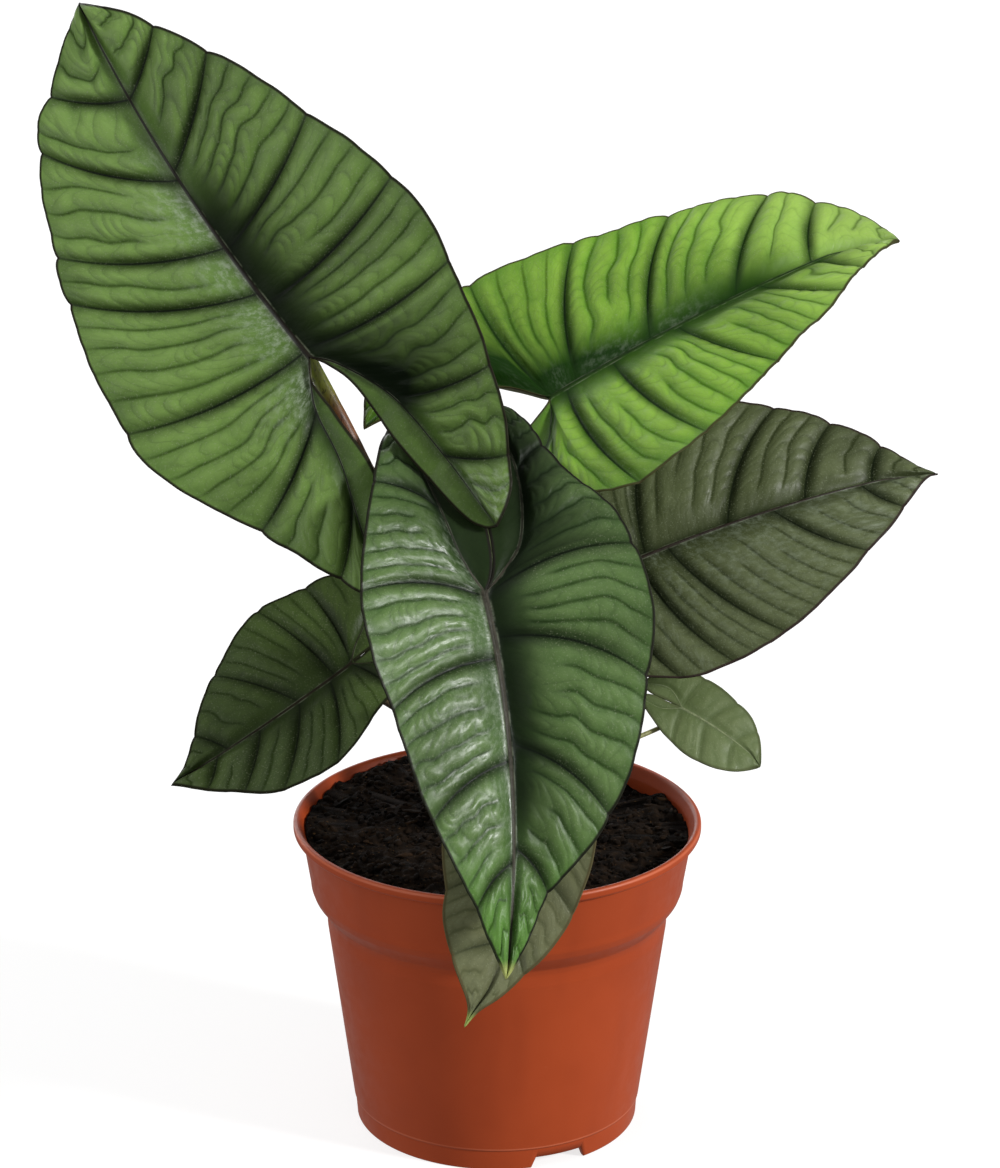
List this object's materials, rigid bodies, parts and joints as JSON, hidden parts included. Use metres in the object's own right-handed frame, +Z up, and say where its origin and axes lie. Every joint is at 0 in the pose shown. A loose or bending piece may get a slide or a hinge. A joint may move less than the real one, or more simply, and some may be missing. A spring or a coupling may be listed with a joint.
{
  "type": "potted alocasia platinum",
  "caption": "Young potted aroid with arrow-shaped, quilted, satin green leaves on slender upright stalks, in a tapered terracotta-coloured plastic nursery pot filled with dark potting mix.",
  "frame": {"origin": "middle of the bottom of the object's box, on the surface that the pot stands on", "axes": "+Z up along the pot's axis, -Y towards the side from which most leaves show their upper faces, +X to that viewer's right"},
  "size_m": [0.267, 0.203, 0.3215],
  "materials": {
    "pot": "satin",
    "soil": "matte",
    "crown": "matte",
    "petiole": "satin",
    "blade_mid_green": "satin",
    "blade_bright_green": "satin",
    "blade_grey_green": "satin",
    "blade_dark_green": "satin"
  },
  "bodies": {
    "root": {"pot": "pot", "soil": "soil", "crown": "crown", "leaf_1_petiole": "petiole", "leaf_1_blade": "blade_mid_green", "leaf_2_petiole": "petiole", "leaf_2_blade": "blade_bright_green", "leaf_3_petiole": "petiole", "leaf_3_blade": "blade_mid_green", "leaf_4_petiole": "petiole", "leaf_4_blade": "blade_grey_green", "leaf_5_petiole": "petiole", "leaf_5_blade": "blade_dark_green", "leaf_6_petiole": "petiole", "leaf_6_blade": "blade_grey_green", "leaf_7_petiole": "petiole", "leaf_7_blade": "blade_dark_green"}
  },
  "joints": []
}
